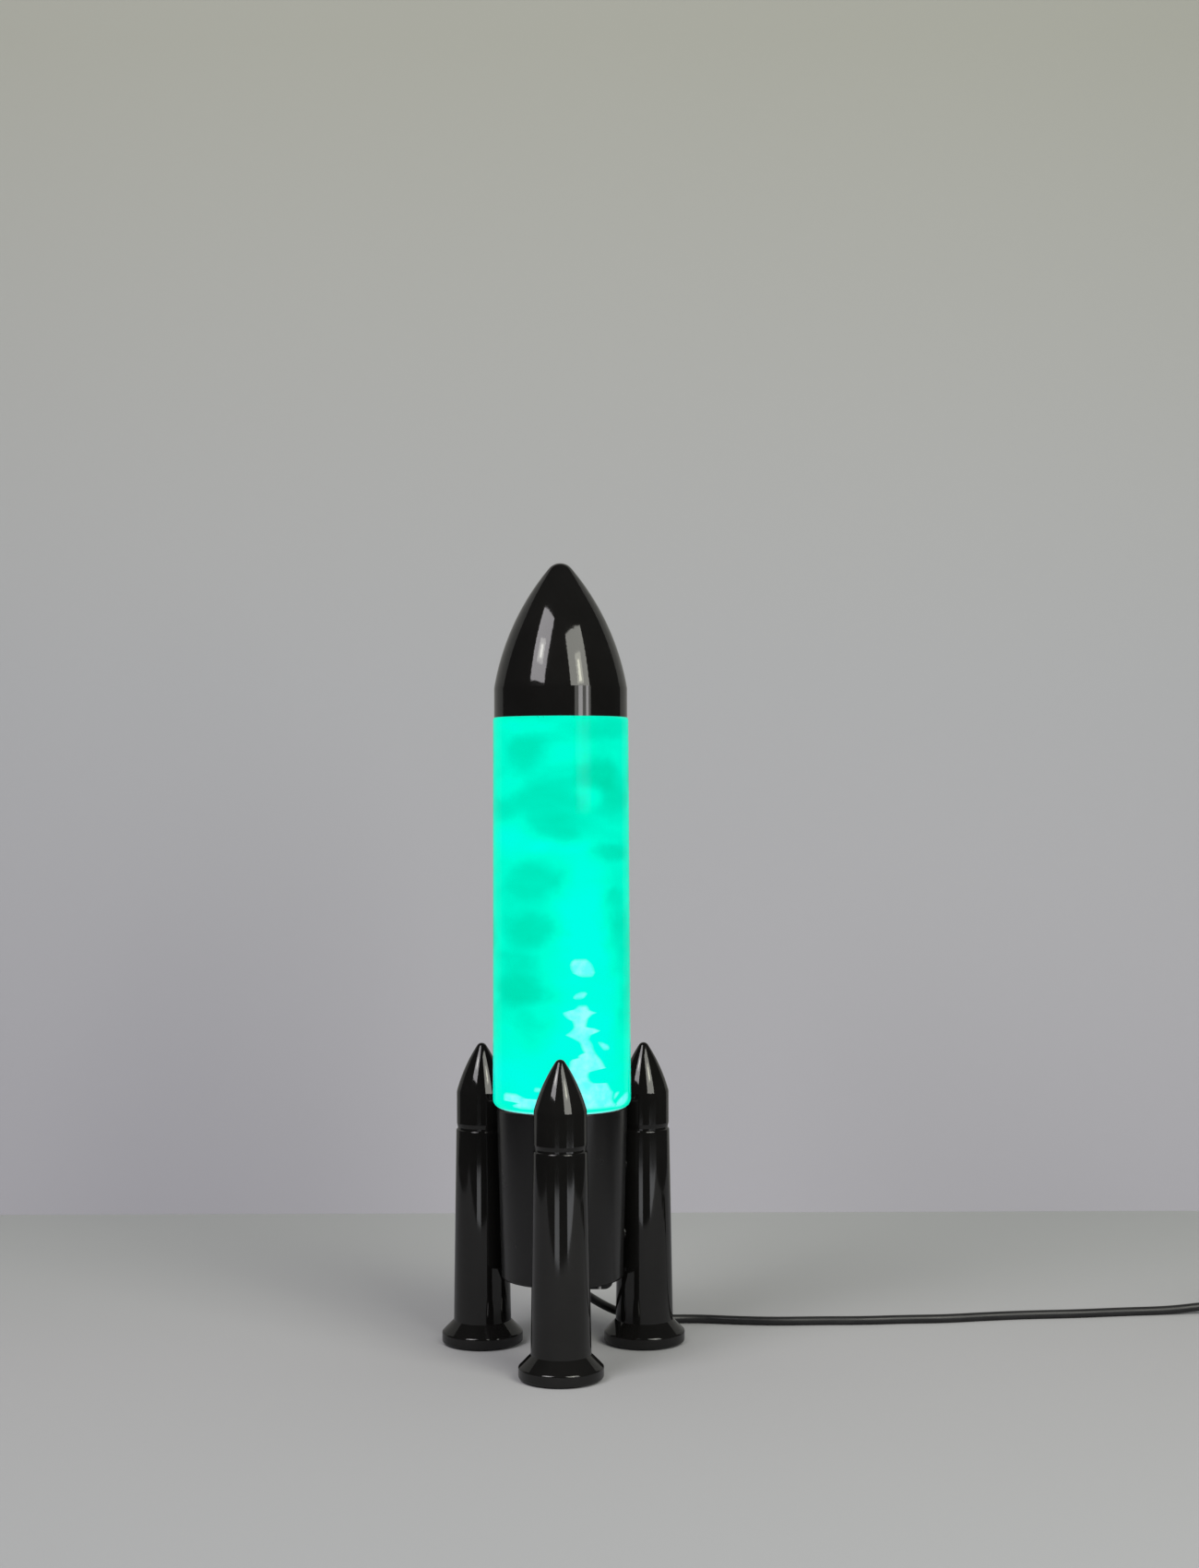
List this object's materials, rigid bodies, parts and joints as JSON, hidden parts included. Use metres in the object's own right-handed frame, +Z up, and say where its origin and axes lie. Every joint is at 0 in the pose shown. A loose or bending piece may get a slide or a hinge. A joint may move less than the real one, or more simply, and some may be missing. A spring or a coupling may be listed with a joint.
{
  "type": "lava lamp",
  "caption": "Lava lamp shaped as a rocket: glowing liquid tube, black nose cone and base, booster pods on round feet as legs, mains flex with switch and plug.",
  "frame": {"origin": "on the table under the lamp's axis, midway between the feet", "axes": "+Z up along the lamp's axis, -Y towards the front booster, +X to the right, where the flex leaves"},
  "size_m": [0.6023, 0.1758, 0.43],
  "materials": {
    "glass": "clear",
    "fluid": "glowing liquid",
    "wax": "pale wax",
    "black_gloss": "gloss",
    "black_nose": "gloss",
    "black_plastic": "satin",
    "foot_rubber": "soft",
    "gasket_rubber": "soft",
    "flex": "satin",
    "plug_plastic": "satin",
    "nickel": "satin",
    "steel": "zinc plated",
    "brass": "satin",
    "aluminium": "satin",
    "ceramic": "glazed",
    "liner": "soft",
    "wire_brown": "satin",
    "wire_blue": "satin",
    "bulb_glass": "inside mirrored"
  },
  "bodies": {
    "base": {"base_housing": "black_gloss", "seat_gasket": "gasket_rubber", "bottom_cover": "black_plastic", "cord_clamp_cover": "black_plastic", "strain_relief": "flex", "cover_screws": "steel", "cord_clamp_screws": "steel", "heat_shield": "aluminium", "shield_screws": "steel", "lampholder_body": "ceramic", "lampholder_shell": "nickel", "lampholder_contact": "brass", "lampholder_terminals": "brass", "lampholder_screws": "steel", "booster_screws": "steel", "power_cord": "flex", "cord_switch_to_coil": "flex", "cord_coil": "flex", "cable_tie": "black_plastic", "cord_coil_to_plug": "flex", "switch_lower_shell": "plug_plastic", "switch_upper_shell": "plug_plastic", "switch_contacts": "brass", "switch_screws": "steel", "plug_body": "plug_plastic", "plug_pins": "nickel", "plug_strain_relief": "flex", "live_wire": "wire_brown", "neutral_wire": "wire_blue", "booster_body_front": "black_gloss", "booster_nose_front": "black_gloss", "booster_foot_front": "black_gloss", "foot_pad_front": "foot_rubber", "booster_body_right": "black_gloss", "booster_nose_right": "black_gloss", "booster_foot_right": "black_gloss", "foot_pad_right": "foot_rubber", "booster_body_left": "black_gloss", "booster_nose_left": "black_gloss", "booster_foot_left": "black_gloss", "foot_pad_left": "foot_rubber"},
    "bottle": {"glass_bottle": "glass", "lamp_fluid": "fluid", "wax_mound": "wax", "wax_blobs": "wax", "wax_coil_spring": "steel", "cap_liner": "liner", "crown_cap": "nickel"},
    "nose": {"nose_cone": "black_nose"},
    "bulb": {"bulb_envelope": "bulb_glass", "bulb_cap": "nickel", "bulb_contact": "brass", "bulb_filament": "steel"},
    "rocker": {"switch_rocker": "plug_plastic"}
  },
  "joints": [
    {"name": "bottle_lift", "type": "slide", "parent": "base", "child": "bottle", "axis": [0, 0, 1], "range_m": [0, 0.08]},
    {"name": "nose_lift", "type": "slide", "parent": "bottle", "child": "nose", "axis": [0, 0, 1], "range_m": [0, 0.06]},
    {"name": "bulb_unscrew", "type": "hinge", "parent": "base", "child": "bulb", "pos_m": [0, 0, 0.06], "axis": [0, 0, 1], "range_deg": [0, 1080]},
    {"name": "rocker_tilt", "type": "hinge", "parent": "base", "child": "rocker", "pos_m": [0.42, 0.0885, 0.014], "axis": [0, 1, 0], "range_deg": [-16, 0]}
  ]
}
